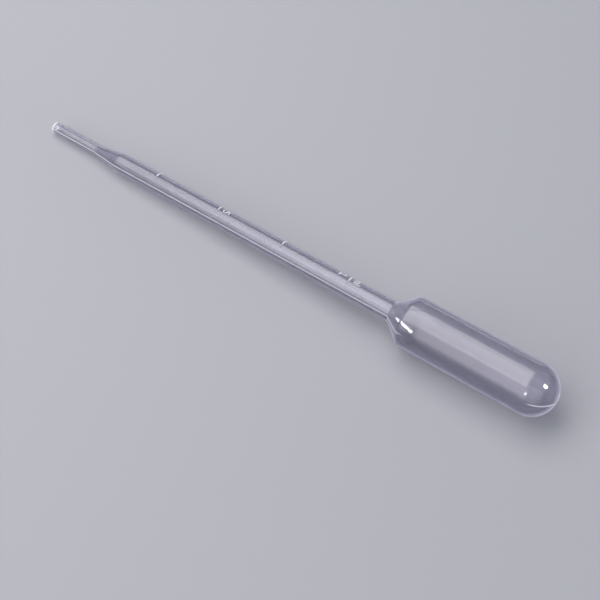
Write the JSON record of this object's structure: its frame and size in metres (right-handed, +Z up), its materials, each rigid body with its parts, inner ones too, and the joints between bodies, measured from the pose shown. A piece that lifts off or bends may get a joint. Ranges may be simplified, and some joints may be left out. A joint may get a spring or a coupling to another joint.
{
  "type": "plastic dropper pipette",
  "caption": "Long translucent plastic dropper blown in one piece: a fine open tip, a slim tube with raised volume marks, and a round-ended squeeze bulb.",
  "frame": {"origin": "the middle of the box in plan, on the surface that the pipette lies on", "axes": "+X from the tip to the bulb, +Z up; the pipette lies on its shoulder and on the front end of its stem, so its own axis rises about 2.6 degrees towards the bulb"},
  "size_m": [0.1454, 0.0126, 0.0141],
  "materials": {
    "translucent_polyethylene": "milky, see-through low-density polyethylene with the soft gloss of a polished blow mould"
  },
  "bodies": {
    "root": {"pipette": "translucent_polyethylene"}
  },
  "joints": []
}
